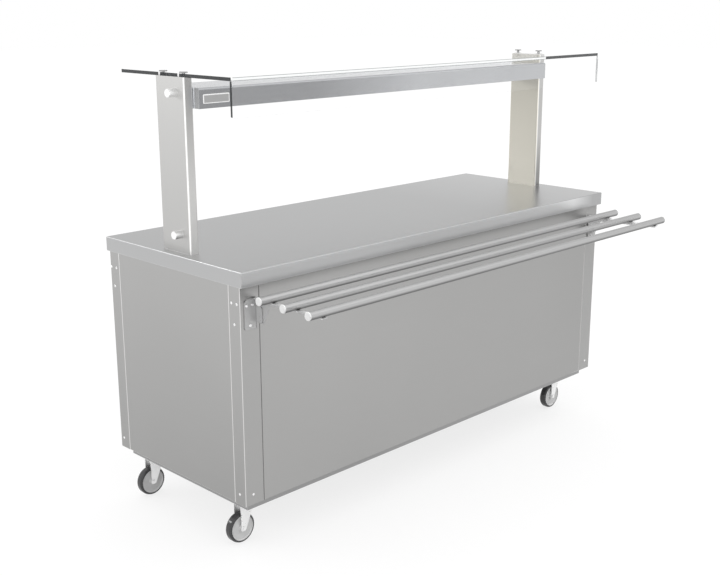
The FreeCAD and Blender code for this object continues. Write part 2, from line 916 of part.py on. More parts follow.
def castor_plate(x, y):
    """A castor's top plate, with a boss under it that holds the kingpin."""
    half_length = castor_plate_length / 2
    half_depth = castor_plate_depth / 2
    low = (x - half_length, y - half_depth, base_bottom - castor_plate_thickness)
    high = (x + half_length, y + half_depth, base_bottom)
    top = rounded_box(low, high, castor_plate_corner, "z")
    boss = cylinder("z", (x, y), low[2] - swivel_boss_height, low[2], swivel_boss_radius)
    bore = cylinder("z", (x, y), low[2] - swivel_boss_height - past, low[2], kingpin_radius + running_gap)
    return fuse_all([top, boss]).cut(bore)


def fork_head_top():
    """The level of the fork's swivel face, just under the boss on the castor's plate."""
    return base_bottom - castor_plate_thickness - swivel_boss_height - swivel_gap


def castor_fork(x, y):
    """A castor's fork: a folded yoke with slanted cheeks, a swivel head and a kingpin."""
    axle_x = x - castor_trail
    inside = hub_width / 2 + fork_clearance
    crown = fork_head_top() - fork_head_height
    yoke_points = [
        (y - inside - fork_sheet, wheel_radius - fork_eye),
        (y - inside - fork_sheet, crown),
        (y + inside + fork_sheet, crown),
        (y + inside + fork_sheet, wheel_radius - fork_eye),
    ]
    yoke = folded(yoke_points[::-1], fork_sheet, fork_bend, "x", axle_x - fork_eye, x + fork_head_radius)
    shoulder = (crown + 2 * wheel_radius) / 2
    cheek = [
        (axle_x - fork_eye, wheel_radius - fork_eye, fork_eye / 2),
        (axle_x + fork_eye, wheel_radius - fork_eye, fork_eye / 2),
        (x + fork_head_radius, shoulder, fork_eye),
        (x + fork_head_radius, crown, 0),
        (axle_x - fork_eye, crown, 0),
    ]
    yoke = yoke.common(plate(cheek, "y", y - inside - fork_sheet, y + inside + fork_sheet))
    head = cylinder("z", (x, y), crown, fork_head_top(), fork_head_radius)
    kingpin_top = base_bottom - castor_plate_thickness - swivel_gap
    kingpin = cylinder("z", (x, y), fork_head_top(), kingpin_top, kingpin_radius)
    hole_start = y - inside - fork_sheet - past
    hole_end = y + inside + fork_sheet + past
    hole = cylinder("y", (axle_x, wheel_radius), hole_start, hole_end, axle_radius + running_gap)
    return fuse_all([yoke, head, kingpin]).cut(hole)


def castor_axle(x, y):
    """A castor's axle bolt, with a head on one cheek and a nut on the other."""
    centre = (x - castor_trail, wheel_radius)
    reach = hub_width / 2 + fork_clearance + fork_sheet
    return fuse_all([
        cylinder("y", centre, y - reach - axle_head_length, y - reach, axle_head),
        cylinder("y", centre, y - reach, y + reach, axle_radius),
        cylinder("y", centre, y + reach, y + reach + axle_head_length, axle_head),
    ])


def turned(profile, x, y):
    """A solid turned about a castor's axle from (radius, offset along the axle, rounding) corners."""
    corners = [(x - castor_trail + radius, y + offset, rounding) for radius, offset, rounding in profile]
    face = outline(corners, "z", wheel_radius)
    axis_point = FreeCAD.Vector(x - castor_trail, y, wheel_radius)
    return face.revolve(axis_point, AXES["y"], 360)


def castor_wheel(x, y):
    """The wheel centre: a hub, a dished web and a rim."""
    bore = axle_radius + running_gap
    hub = hub_width / 2
    rim = wheel_width / 2 - tyre_gap
    web = rim - wheel_dish
    ring = rim_radius - tyre_shoulder / 2
    outer = rim_radius - tyre_gap
    profile = [
        (bore, -hub, 0),
        (hub_radius, -hub, 0),
        (hub_radius, -web, 0),
        (ring, -web, 0),
        (ring + wheel_dish, -rim, 0),
        (outer, -rim, 0),
        (outer, rim, 0),
        (ring + wheel_dish, rim, 0),
        (ring, web, 0),
        (hub_radius, web, 0),
        (hub_radius, hub, 0),
        (bore, hub, 0),
    ]
    return turned(profile, x, y)


def castor_tyre(x, y):
    """The tyre, with two slopes for each rounded shoulder."""
    half = wheel_width / 2
    step = tyre_shoulder * (1 - math.sqrt(0.5))
    near_side = [
        (rim_radius, -half, 0),
        (wheel_radius - tyre_shoulder, -half, 0),
        (wheel_radius - step, -half + step, 0),
        (wheel_radius, -half + tyre_shoulder, 0),
    ]
    far_side = [(radius, -offset, rounding) for radius, offset, rounding in near_side[::-1]]
    return turned(near_side + far_side, x, y)


def mains_inlet():
    """A flush mains inlet in the rear right post, with an empty socket."""
    x, z = inlet_place()
    half_width = inlet_width / 2
    half_height = inlet_height / 2
    flange_low = (x - half_width, rear_y, z - half_height)
    flange_high = (x + half_width, rear_y + inlet_flange, z + half_height)
    flange = rounded_box(flange_low, flange_high, inlet_rim, "y")
    body_low = (x - half_width + inlet_rim, rear_y - inlet_depth, z - half_height + inlet_rim)
    body_high = (x + half_width - inlet_rim, rear_y, z + half_height - inlet_rim)
    mouth = rear_y + inlet_flange
    socket_low = (x - inlet_socket_width / 2, mouth - inlet_socket_depth, z - inlet_socket_height / 2)
    socket_high = (x + inlet_socket_width / 2, mouth + past, z + inlet_socket_height / 2)
    return fuse_all([flange, box(body_low, body_high)]).cut(box(socket_low, socket_high))


def save_body():
    """Writes the worktop, the posts and panels, the base and the shelf."""
    save("worktop", worktop())
    save("worktop_stiffeners", *[worktop_stiffener(i * stiffener_pitch) for i in (-1, 0, 1)])
    save("post_front_left", corner_post())
    save("post_front_right", mirrored_x(corner_post()))
    save("post_rear_left", rear_post())
    save("post_rear_right", rear_post_with_inlet())
    save("front_panel", front_panel())
    save("end_panel_left", end_panel())
    save("end_panel_right", mirrored_x(end_panel()))
    save("base_pan", base_pan())
    save("castor_bearers", castor_bearer(), mirrored_x(castor_bearer()))
    save("mid_shelf", mid_shelf())
    save("shelf_angles", *shelf_angles())
    save("mains_inlet", mains_inlet())


def save_doors():
    """Writes the rails and tracks behind the counter and the two doors that run in them."""
    save("door_header", door_header())
    save("door_sill", door_sill())
    save("top_track", door_track(track_top, track_top - top_track_depth))
    save("bottom_track", door_track(sill_top, sill_top + bottom_track_depth))
    for name, side in (("left", -1), ("right", 1)):
        skin, pull, glides = door(side)
        save("door_" + name + "_panel", skin)
        save("door_" + name + "_pull", pull)
        save("door_" + name + "_glides", *glides)


def save_gantry():
    """Writes the uprights, the canopy with its lights, and the glass."""
    save("upright_left", upright())
    save("upright_right", mirrored_x(upright()))
    save("end_studs", *end_studs())
    save("canopy", canopy())
    save("light_diffuser", light_diffuser())
    save("light_strips", *light_strips())
    save("light_driver", light_driver())
    save("switch_bezel", switch_bezel())
    save("switch_rocker", switch_rocker())
    save("glass_shelf", glass_shelf())
    save("glass_front", glass_front())
    save("glass_pads", *glass_pads())
    save("glass_fixings", *glass_fixings())


def save_tray_rail():
    """Writes the brackets, the folding arms and the tubes."""
    save("tray_plate_left", tray_plate())
    save("tray_plate_right", mirrored_x(tray_plate()))
    save("tray_pivots", tray_pivot(), mirrored_x(tray_pivot()))
    save("tray_arm_left", tray_arm())
    save("tray_arm_right", mirrored_x(tray_arm()))
    for name, y in zip(("inner", "middle", "outer"), tube_places()):
        save("tray_tube_" + name, tray_tube(y))
    save("tray_tube_caps", *tray_tube_caps())


def save_castors():
    """Writes the castors' plates as one group, and each castor's fork, wheel and tyre."""
    save("castor_plates", *[castor_plate(x, y) for name, x, y in castor_places()])
    for name, x, y in castor_places():
        save("castor_fork_" + name, castor_fork(x, y), castor_axle(x, y))
        save("castor_wheel_" + name, castor_wheel(x, y))
        save("castor_tyre_" + name, castor_tyre(x, y))


os.makedirs("parts", exist_ok=True)
save_body()
save_doors()
save_gantry()
save_tray_rail()
save_castors()
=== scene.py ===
import json
import math

import bmesh
import bpy
from mathutils import Matrix, Quaternion, Vector


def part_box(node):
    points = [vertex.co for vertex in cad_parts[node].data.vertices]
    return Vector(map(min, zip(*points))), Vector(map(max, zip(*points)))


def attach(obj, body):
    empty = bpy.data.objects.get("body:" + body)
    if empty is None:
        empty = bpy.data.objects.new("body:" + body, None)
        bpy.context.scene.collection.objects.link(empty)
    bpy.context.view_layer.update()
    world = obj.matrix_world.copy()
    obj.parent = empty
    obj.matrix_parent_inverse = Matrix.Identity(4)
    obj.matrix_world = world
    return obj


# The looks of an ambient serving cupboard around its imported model. Metres, Z up, the customer side
# faces -Y. Every mesh is written in the model's own frame, so Object coordinates are metres on it.

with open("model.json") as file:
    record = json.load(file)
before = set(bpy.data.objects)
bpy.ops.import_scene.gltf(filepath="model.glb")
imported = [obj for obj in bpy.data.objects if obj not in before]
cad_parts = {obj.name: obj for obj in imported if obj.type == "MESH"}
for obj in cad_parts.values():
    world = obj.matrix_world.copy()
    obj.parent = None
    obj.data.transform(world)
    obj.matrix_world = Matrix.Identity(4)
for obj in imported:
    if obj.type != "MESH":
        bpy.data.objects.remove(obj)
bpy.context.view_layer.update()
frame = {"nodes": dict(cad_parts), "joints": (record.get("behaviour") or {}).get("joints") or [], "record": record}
nodes = frame["nodes"]

# Camera, fitted to the corners of the worktop, body and glass in the photograph
CAMERA_PLACE = (-2.7442, -2.5198, 1.6439)
CAMERA_AIM = (0.68195, 0.68419, -0.25852)
CAMERA_ROLL = math.radians(-0.1375)
CAMERA_LENS = 54.615
SENSOR_WIDTH = 36.0

# Room
FLOOR_HALF = 30.0
FLOOR_COLOUR = (0.24, 0.24, 0.24, 1.0)
FLOOR_ROUGHNESS = 0.9
FLOOR_GLOW = 0.76
WORLD_SOFT_LIGHT = 1.15
WHITE = (1.0, 1.0, 1.0, 1.0)

# Lamps: name, place, aim, width and power
LAMPS = (
    ("lamp_over", (1.6, -2.2, 4.2), (0.0, 0.0, 0.8), 4.4, 30.0),
    ("lamp_behind", (-3.75, 3.35, 2.25), (0.0, 0.1, 0.6), 0.8, 14.0),
    ("lamp_low", (-3.8, -1.9, 0.9), (0.0, 0.0, 0.6), 2.8, 12.0),
)

# Sockets of the Mix node: its factor, then its two inputs and its output for values and for colours
MIX_FACTOR = 0
MIX_SOCKETS = {"FLOAT": (2, 3, 0), "RGBA": (6, 7, 2)}

# Where masks begin and end: edges (worn on plastic, painted light and shade on steel), bends, faces to the left,
# and the inside of the cupboard
EDGE_RADIUS = 0.0022
EDGE_SAMPLES = 4
EDGE_TURN = (0.8, 0.99)
BEND_SHARE = (0.7, 0.97)
LEFT_FACING = (-0.9, -0.5)
CUPBOARD_MIDDLE = (0.0, 0.15, 0.6)
CUPBOARD_TOP = 0.899
INSIDE_REACH = (0.0, 0.02)

# Steel: how far its grain is drawn out along each axis, its noises per metre, and how strongly they show
STEEL_ALONG_X = (60.0, 1.0, 1.0)
STEEL_LEVEL = (60.0, 60.0, 1.0)
STEEL_UPRIGHT = (1.0, 1.0, 60.0)
FINE_LINES = 700.0
STREAKS = 30.0
CLOUD = (1.6, 1.6, 1.6)
CLOUD_DEPTH = 0.02
TWO_NOISES = (0.6, 1.4)
# Share of painted light and shade along the edges of steel
STEEL_EDGE_LIGHT = 0.75
GLOSS_PER_DEPTH = 3.0
RELIEF_PER_DEPTH = 2.0
LINE_HEIGHT = 0.0002
# Faces inside the cupboard: a duller finish, and a lighter tone that is painted light inside it
INSIDE_TONE = 0.62
INSIDE_METALLIC = 0.25

# Tube: painted shade by the way that a surface faces, its tones and where they change
TUBE_UNDER = 0.17
TUBE_FRONT = 0.53
TUBE_TOP = 0.43
TUBE_SIDE = (-0.5, 0.05)
TUBE_CROWN = (0.2, 0.8)
TUBE_GLOSS = 0.02
TUBE_RELIEF = 0.012

# Polished metal
TURNING_MARKS = (900.0, 900.0, 900.0)
MARK_RELIEF = 0.05
MARK_HEIGHT = 0.0001
SCUFFS = (40.0, 40.0, 40.0)
SCUFF_TONES = (0.94, 1.06)
SCUFF_GLOSS = (0.7, 1.4)

# Moulded plastic and rubber
SKIN = (1400.0, 1400.0, 1400.0)
SKIN_RELIEF = 0.15
MOTTLE = (60.0, 60.0, 60.0)
MOTTLE_TONES = (0.88, 1.1)
MOTTLE_GLOSS = 0.06
PLASTIC_RUBBED = 0.6
PLASTIC_WORN = 0.12

# Opal plastic
FLOW = (3.0, 120.0, 120.0)
FLOW_RELIEF = 0.04
FLOW_HEIGHT = 0.0002
OPAL_DARK = (0.86, 0.86, 0.82, 1.0)
OPAL_LIGHT = (0.95, 0.95, 0.92, 1.0)
OPAL_ROUGHNESS = (0.4, 0.5)
OPAL_SUBSURFACE = 0.2
OPAL_RADIUS = (0.004, 0.004, 0.004)

# Glass: colours, then how far its faces and edges cover what is behind them
GLASS_DULL = (0.95, 0.97, 0.97, 1.0)
GLASS_CLEAR = (0.98, 0.99, 0.99, 1.0)
GLASS_RIM = (0.36, 0.38, 0.38, 1.0)
GLASS_CORE = (0.96, 0.97, 0.97, 1.0)
GLASS_DARK = (0.045, 0.048, 0.05, 1.0)
GLASS_REAR = (0.2, 0.24, 0.23, 1.0)
GLASS_COVER = (0.02, 0.2)
GLASS_STEEPNESS = 4.0
SMEAR = (5.0, 5.0, 5.0)
SMEAR_COVER = 0.01
SMEAR_ROUGHNESS = (0.02, 0.06)
EDGE_COVERS = {"front": 0.92, "rear": 0.9, "end": 0.96}
FAR_EDGE_SHARE = 0.65

# Glass: the rim on its edges, the painted glints (pale gaps) in its dark ends, and where its front edge is painted
# dark
RIM_HEIGHT = 0.0018
GLINTS = (0.0775, 0.1708)
GLINT_HALF = 0.0035
EDGE_DEPTH = 0.0005
SHELF_MARGIN = 0.00005
FACES_AXIS = 0.5
UNLIT_FROM = 0.5466

# Tints
NEUTRAL = (1.0, 1.0, 1.0)
WORKTOP_TINT = (0.995, 1.0, 1.005)
PANEL_TINT = (1.0, 0.995, 0.985)
GANTRY_TINT = (1.0, 0.995, 0.98)
# Painted warm reflected light on the right upright's faces that look left
GANTRY_WARM_REFLECTION_TINT = (1.0, 0.967, 0.86)
CANOPY_TINT = (0.985, 1.0, 1.03)


# Node helpers

def new_look(name):
    """A material with its node tree and its surface shader."""
    material = bpy.data.materials.new(name)
    material.use_nodes = True
    tree = material.node_tree
    return material, tree, tree.nodes["Principled BSDF"]


def fill(tree, socket, value):
    """Links another node's socket to a socket, or sets its value."""
    if isinstance(value, bpy.types.NodeSocket):
        tree.links.new(value, socket)
    else:
        socket.default_value = value


def node(tree, kind, **sockets):
    """A node of one kind with its sockets filled by name."""
    made = tree.nodes.new("ShaderNode" + kind)
    for name, value in sockets.items():
        fill(tree, made.inputs[name], value)
    return made


def math_node(tree, operation, first, second):
    """One sum on two values or sockets."""
    made = tree.nodes.new("ShaderNodeMath")
    made.operation = operation
    fill(tree, made.inputs[0], first)
    fill(tree, made.inputs[1], second)
    return made.outputs["Value"]


def product(tree, *factors):
    """Factors multiplied together."""
    total = factors[0]
    for factor in factors[1:]:
        total = math_node(tree, "MULTIPLY", total, factor)
    return total


def vector_node(tree, operation, first, second):
    """The results of one sum on two vectors or sockets."""
    made = tree.nodes.new("ShaderNodeVectorMath")
    made.operation = operation
    fill(tree, made.inputs[0], first)
    fill(tree, made.inputs[1], second)
    return made.outputs


def spread(tree, value, low, high, start=0.3, end=0.7):
    """A value spread from one range to another."""
    made = node(tree, "MapRange", Value=value)
    made.inputs["From Min"].default_value = start
    made.inputs["From Max"].default_value = end
    made.inputs["To Min"].default_value = low
    made.inputs["To Max"].default_value = high
    return made.outputs["Result"]


def between(tree, value, low, high):
    """1 where a value lies between two limits."""
    above = math_node(tree, "GREATER_THAN", value, low)
    return math_node(tree, "MULTIPLY", above, math_node(tree, "LESS_THAN", value, high))


def blend(tree, kind, factor, first, second):
    """Something between two values or colours, by a factor from 0 to 1."""
    made = tree.nodes.new("ShaderNodeMix")
    made.data_type = kind
    first_input, second_input, output = MIX_SOCKETS[kind]
    fill(tree, made.inputs[MIX_FACTOR], factor)
    fill(tree, made.inputs[first_input], first)
    fill(tree, made.inputs[second_input], second)
    return made.outputs[output]


def blend_values(tree, factor, first, second):
    """A value between two."""
    return blend(tree, "FLOAT", factor, first, second)


def blend_colours(tree, factor, first, second):
    """A colour between two."""
    return blend(tree, "RGBA", factor, first, second)


def tinted(tree, value, tint):
    """A colour of one tint at a given brightness."""
    made = tree.nodes.new("ShaderNodeVectorMath")
    made.operation = "SCALE"
    made.inputs[0].default_value = tint
    tree.links.new(value, made.inputs["Scale"])
    return made.outputs["Vector"]


def grey(tone):
    """An opaque grey."""
    return (tone, tone, tone, 1.0)


def model_place(tree, scales=(1.0, 1.0, 1.0)):
    """Metres in the model's frame, times a scale for each axis."""
    coordinates = node(tree, "TexCoord").outputs["Object"]
    return node(tree, "Mapping", Vector=coordinates, Scale=scales).outputs["Vector"]


def place_parts(tree):
    """X, Y and Z in the model's frame."""
    return node(tree, "SeparateXYZ", Vector=model_place(tree)).outputs


def facing(tree):
    """X, Y and Z of the way that a surface faces."""
    normal = node(tree, "NewGeometry").outputs["Normal"]
    return node(tree, "SeparateXYZ", Vector=normal).outputs


def noise(tree, scales, detail):
    """Noise from 0 to 1 with its own scale along each axis."""
    place = model_place(tree, scales)
    return node(tree, "TexNoise", Vector=place, Scale=1.0, Detail=detail).outputs["Fac"]


def along_grain(scale, grain):
    """The scales of a noise that is drawn out along a grain."""
    return tuple(scale / stretch for stretch in grain)


def add_bump(tree, shader, height, strength, distance):
    """Fine relief on a surface."""
    made = node(tree, "Bump", Height=height, Strength=strength, Distance=distance)
    tree.links.new(made.outputs["Normal"], shader.inputs["Normal"])


# Masks

def edge_mask(tree):
    """1 along the edges of the solid and 0 on its open faces."""
    rounded = node(tree, "Bevel", Radius=EDGE_RADIUS)
    rounded.samples = EDGE_SAMPLES
    normal = node(tree, "NewGeometry").outputs["Normal"]
    turn = vector_node(tree, "DOT_PRODUCT", rounded.outputs["Normal"], normal)["Value"]
    return spread(tree, turn, 1.0, 0.0, *EDGE_TURN)


def facing_shares(tree):
    """How far a surface faces the front, an end, up and down, in shares that add up to 1."""
    parts = facing(tree)
    end, front, level = [math_node(tree, "MULTIPLY", parts[axis], parts[axis]) for axis in "XYZ"]
    top = math_node(tree, "MULTIPLY", level, math_node(tree, "GREATER_THAN", parts["Z"], 0.0))
    return {"front": front, "end": end, "top": top, "under": math_node(tree, "SUBTRACT", level, top)}


def bend_mask(tree, shares):
    """1 on a bend between two faces and 0 on a flat face."""
    flat = math_node(tree, "MAXIMUM", shares["front"], shares["end"])
    for side in ("top", "under"):
        flat = math_node(tree, "MAXIMUM", flat, shares[side])
    return spread(tree, flat, 1.0, 0.0, *BEND_SHARE)


def looks_inside(tree):
    """1 on faces that look into the cupboard and 0 on faces that look out of it."""
    place = model_place(tree)
    inward = vector_node(tree, "SUBTRACT", CUPBOARD_MIDDLE, place)["Vector"]
    normal = node(tree, "NewGeometry").outputs["Normal"]
    reach = vector_node(tree, "DOT_PRODUCT", inward, normal)["Value"]
    height = node(tree, "SeparateXYZ", Vector=place).outputs["Z"]
    below = math_node(tree, "LESS_THAN", height, CUPBOARD_TOP)
    return math_node(tree, "MULTIPLY", below, spread(tree, reach, 0.0, 1.0, *INSIDE_REACH))


def faces_left(tree):
    """1 on faces that look to the left end of the counter and 0 on the others."""
    return spread(tree, facing(tree)["X"], 1.0, 0.0, *LEFT_FACING)


# Tones: painted light and shade, set by the way a face looks and along an axis

def tones(front, end, top, under):
    """Linear brightness for each way that a face looks, as numbers or as runs along an axis: painted light and
    shade.
    """
    return {"front": front, "end": end, "top": top, "under": under}


def run_along(axis, first, last):
    """A tone that runs from one (place, tone) to another along an axis and stays the same beyond them: a painted
    gradient of light and shade.
    """
    return (axis, first, last)


def tone_value(tree, tone):
    """A tone as a number, or as a socket where it runs along an axis."""
    if not isinstance(tone, tuple):
        return tone
    axis, (start, low), (end, high) = tone
    return spread(tree, place_parts(tree)[axis], low, high, start, end)


def tone_by_facing(tree, shares, faces):
    """A brightness by the way that a surface faces: painted light and shade."""
    total = math_node(tree, "MULTIPLY", shares["front"], tone_value(tree, faces["front"]))
    for side in ("end", "top", "under"):
        part = math_node(tree, "MULTIPLY", shares[side], tone_value(tree, faces[side]))
        total = math_node(tree, "ADD", total, part)
    return total


# Materials

def cloud_shade(tree, cloud):
    """A brightness close to 1 that follows a large soft cloud."""
    return spread(tree, cloud, 1.0 - CLOUD_DEPTH, 1.0 + CLOUD_DEPTH)


def steel_grain(tree, grain, depth):
    """The fine lines and the cloud of brushed steel, and the shade that they and broad streaks give it."""
    fine = noise(tree, along_grain(FINE_LINES, grain), detail=2.0)
    streaks = noise(tree, along_grain(STREAKS, grain), detail=4.0)
    cloud = noise(tree, CLOUD, detail=2.0)
    both = math_node(tree, "ADD", fine, streaks)
    lines = spread(tree, both, 1.0 - depth, 1.0 + depth, *TWO_NOISES)
    return fine, cloud, math_node(tree, "MULTIPLY", lines, cloud_shade(tree, cloud))


def steel_brightness(tree, shade, faces, bends, edges):
    """The brightness of steel: painted light and shade by the way each face looks, with painted highlights and
    shade on its bends and along its edges.
    """
    shares = facing_shares(tree)
    value = math_node(tree, "MULTIPLY", tone_by_facing(tree, shares, faces), shade)
    value = blend_values(tree, bend_mask(tree, shares), value, tone_by_facing(tree, shares, bends))
    # Painted highlights and shade along the edges
    edge_wear_and_light = math_node(tree, "MULTIPLY", edge_mask(tree), STEEL_EDGE_LIGHT)
    return blend_values(tree, edge_wear_and_light, value, tone_by_facing(tree, shares, edges))


def brushed_steel(name, faces, bends, edges, grain, roughness, tint=NEUTRAL, left_reflection_tint=None, depth=0.006,
                  metallic=1.0, has_inside=True):
    """Brushed stainless with fine lines, broad soft streaks and a large soft cloud, and painted light and shade by
    the way each face looks.

    Faces that look into the cupboard are duller, and are painted lighter to stand in for light inside the
    cupboard. A piece that stands above the cupboard has no such faces, and has_inside is off for it. Faces to the
    left may have their own tint, a painted warm reflection.
    """
    material, tree, shader = new_look(name)
    fine, cloud, shade = steel_grain(tree, grain, depth)
    value = steel_brightness(tree, shade, faces, bends, edges)
    shader.inputs["Metallic"].default_value = metallic
    if has_inside:
        inside = looks_inside(tree)
        # Inside faces painted lighter, as painted light in the cupboard
        value = blend_values(tree, inside, value, math_node(tree, "MULTIPLY", shade, INSIDE_TONE))
        dull = spread(tree, inside, metallic, INSIDE_METALLIC, 0.0, 1.0)
        tree.links.new(dull, shader.inputs["Metallic"])
    colour = tinted(tree, value, tint)
    # Painted warm reflected light on faces that look left
    if left_reflection_tint:
        colour = blend_colours(tree, faces_left(tree), colour, tinted(tree, value, left_reflection_tint))
    tree.links.new(colour, shader.inputs["Base Color"])
    uneven = GLOSS_PER_DEPTH * depth
    grained = math_node(tree, "ADD", fine, cloud)
    rough = spread(tree, grained, roughness - uneven, roughness + uneven, *TWO_NOISES)
    tree.links.new(rough, shader.inputs["Roughness"])
    add_bump(tree, shader, fine, RELIEF_PER_DEPTH * depth, LINE_HEIGHT)
    return material


def satin_tube(name, roughness):
    """Satin tube: fine grain along it, with painted shade: darker towards the top and dark underneath."""
    material, tree, shader = new_look(name)
    fine = noise(tree, along_grain(FINE_LINES, STEEL_ALONG_X), detail=2.0)
    cloud = noise(tree, CLOUD, detail=2.0)
    level = facing(tree)["Z"]
    # Painted shade: dark underneath and darker towards the top
    side = spread(tree, level, TUBE_UNDER, TUBE_FRONT, *TUBE_SIDE)
    crown = spread(tree, level, 1.0, TUBE_TOP / TUBE_FRONT, *TUBE_CROWN)
    value = product(tree, side, crown, cloud_shade(tree, cloud))
    tree.links.new(tinted(tree, value, NEUTRAL), shader.inputs["Base Color"])
    rough = spread(tree, fine, roughness - TUBE_GLOSS, roughness + TUBE_GLOSS)
    tree.links.new(rough, shader.inputs["Roughness"])
    shader.inputs["Metallic"].default_value = 1.0
    add_bump(tree, shader, fine, TUBE_RELIEF, LINE_HEIGHT)
    return material


def polished_metal(name, tone, roughness, metallic=1.0):
    """Turned or plated bright metal with faint turning marks and small scuffs."""
    material, tree, shader = new_look(name)
    marks = noise(tree, TURNING_MARKS, detail=2.0)
    scuffs = noise(tree, SCUFFS, detail=3.0)
    dark, light = [grey(min(tone * share, 1.0)) for share in SCUFF_TONES]
    tree.links.new(blend_colours(tree, scuffs, dark, light), shader.inputs["Base Color"])
    smooth, rough = [roughness * share for share in SCUFF_GLOSS]
    tree.links.new(spread(tree, scuffs, smooth, rough), shader.inputs["Roughness"])
    shader.inputs["Metallic"].default_value = metallic
    add_bump(tree, shader, marks, MARK_RELIEF, MARK_HEIGHT)
    return material


def moulded_plastic(name, colour, roughness, skin_height):
    """Moulded plastic or rubber: a soft mottle, a fine moulded skin and slightly rubbed edges."""
    material, tree, shader = new_look(name)
    skin = noise(tree, SKIN, detail=2.0)
    mottle = noise(tree, MOTTLE, detail=3.0)
    dark, light = [tuple(min(value * share, 1.0) for value in colour) + (1.0,) for share in MOTTLE_TONES]
    worn = tuple(value + (1.0 - value) * PLASTIC_WORN for value in colour) + (1.0,)
    edge_wear_and_light = math_node(tree, "MULTIPLY", edge_mask(tree), PLASTIC_RUBBED)
    body = blend_colours(tree, mottle, dark, light)
    tree.links.new(blend_colours(tree, edge_wear_and_light, body, worn), shader.inputs["Base Color"])
    rough = spread(tree, mottle, roughness - MOTTLE_GLOSS, roughness + MOTTLE_GLOSS)
    tree.links.new(rough, shader.inputs["Roughness"])
    add_bump(tree, shader, skin, SKIN_RELIEF, skin_height)
    return material


def opal_plastic():
    """The light diffuser: opal plastic with faint flow lines."""
    material, tree, shader = new_look("opal_plastic")
    flow = noise(tree, FLOW, detail=3.0)
    tree.links.new(blend_colours(tree, flow, OPAL_DARK, OPAL_LIGHT), shader.inputs["Base Color"])
    tree.links.new(spread(tree, flow, *OPAL_ROUGHNESS), shader.inputs["Roughness"])
    shader.inputs["Subsurface Weight"].default_value = OPAL_SUBSURFACE
    shader.inputs["Subsurface Radius"].default_value = OPAL_RADIUS
    add_bump(tree, shader, flow, FLOW_RELIEF, FLOW_HEIGHT)
    return material


def glass_edges(tree, place, low, high):
    """1 on the end, front and rear edges of the glass as they show from outside, by name.

    The end edges of the hanging glass also show from inside it, less strongly.
    """
    geometry = node(tree, "NewGeometry").outputs
    way = node(tree, "SeparateXYZ", Vector=geometry["True Normal"]).outputs
    outside = math_node(tree, "SUBTRACT", 1.0, geometry["Backfacing"])
    in_shelf = math_node(tree, "GREATER_THAN", place["Z"], low.z - SHELF_MARGIN)
    hanging = math_node(tree, "MULTIPLY", math_node(tree, "SUBTRACT", 1.0, in_shelf), FAR_EDGE_SHARE)
    faces_end = math_node(tree, "GREATER_THAN", math_node(tree, "ABSOLUTE", way["X"], 0.0), FACES_AXIS)
    from_middle = math_node(tree, "ABSOLUTE", place["X"], 0.0)
    at_end = math_node(tree, "GREATER_THAN", from_middle, high.x - EDGE_DEPTH)
    end = product(tree, faces_end, at_end, math_node(tree, "MAXIMUM", outside, hanging))
    # Pale gaps in the dark ends at the fixings: painted glints
    for y in GLINTS:
        glint = between(tree, place["Y"], y - GLINT_HALF, y + GLINT_HALF)
        end = math_node(tree, "SUBTRACT", end, math_node(tree, "MULTIPLY", end, glint))
    faces_front = math_node(tree, "LESS_THAN", way["Y"], -FACES_AXIS)
    at_front = math_node(tree, "LESS_THAN", place["Y"], low.y + EDGE_DEPTH)
    faces_rear = math_node(tree, "GREATER_THAN", way["Y"], FACES_AXIS)
    at_rear = math_node(tree, "GREATER_THAN", place["Y"], high.y - EDGE_DEPTH)
    return {
        "end": end,
        "front": product(tree, faces_front, at_front, outside, in_shelf),
        "rear": product(tree, faces_rear, at_rear, outside, in_shelf),
    }


def glass_colour(tree, place, low, high, edges, smear):
    """Clear faces, dark ends, a grey rear edge, and a front edge that is pale up to where it is painted dark. The
    front edge's pale part and dark part are painted light and shade; the dark ends and grey rear edge are partly
    the glass's own edge colour and partly painted shade.
    """
    core = between(tree, place["Z"], low.z + RIM_HEIGHT, high.z - RIM_HEIGHT)
    pale = blend_colours(tree, core, GLASS_RIM, GLASS_CORE)
    # The front edge is painted dark beyond UNLIT_FROM: painted shade where no canopy lies behind it
    unlit = math_node(tree, "GREATER_THAN", place["X"], UNLIT_FROM)
    front = blend_colours(tree, unlit, pale, GLASS_DARK)
    colour = blend_colours(tree, smear, GLASS_DULL, GLASS_CLEAR)
    for edge, edge_colour in (("front", front), ("rear", GLASS_REAR), ("end", GLASS_DARK)):
        colour = blend_colours(tree, edges[edge], colour, edge_colour)
    return colour


def glass_cover(tree, edges, smear):
    """How far glass hides what is behind it: more at a low angle, and nearly all on its edges."""
    low_angle = node(tree, "LayerWeight", Blend=0.5).outputs["Facing"]
    steep = math_node(tree, "POWER", low_angle, GLASS_STEEPNESS)
    cover = spread(tree, steep, *GLASS_COVER, 0.0, 1.0)
    cover = math_node(tree, "ADD", cover, spread(tree, smear, 0.0, SMEAR_COVER))
    for edge, share in EDGE_COVERS.items():
        cover = math_node(tree, "MAXIMUM", cover, math_node(tree, "MULTIPLY", edges[edge], share))
    return cover


def clear_glass():
    """Toughened glass with faint smears on its faces, and edges whose colours are partly its own and partly
    painted light and shade.
    """
    material, tree, shader = new_look("clear_glass")
    place = place_parts(tree)
    low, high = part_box("glass_shelf")
    edges = glass_edges(tree, place, low, high)
    smear = noise(tree, SMEAR, detail=3.0)
    colour = glass_colour(tree, place, low, high, edges, smear)
    tree.links.new(colour, shader.inputs["Base Color"])
    shader.inputs["Metallic"].default_value = 1.0
    tree.links.new(glass_cover(tree, edges, smear), shader.inputs["Alpha"])
    tree.links.new(spread(tree, smear, *SMEAR_ROUGHNESS), shader.inputs["Roughness"])
    return material


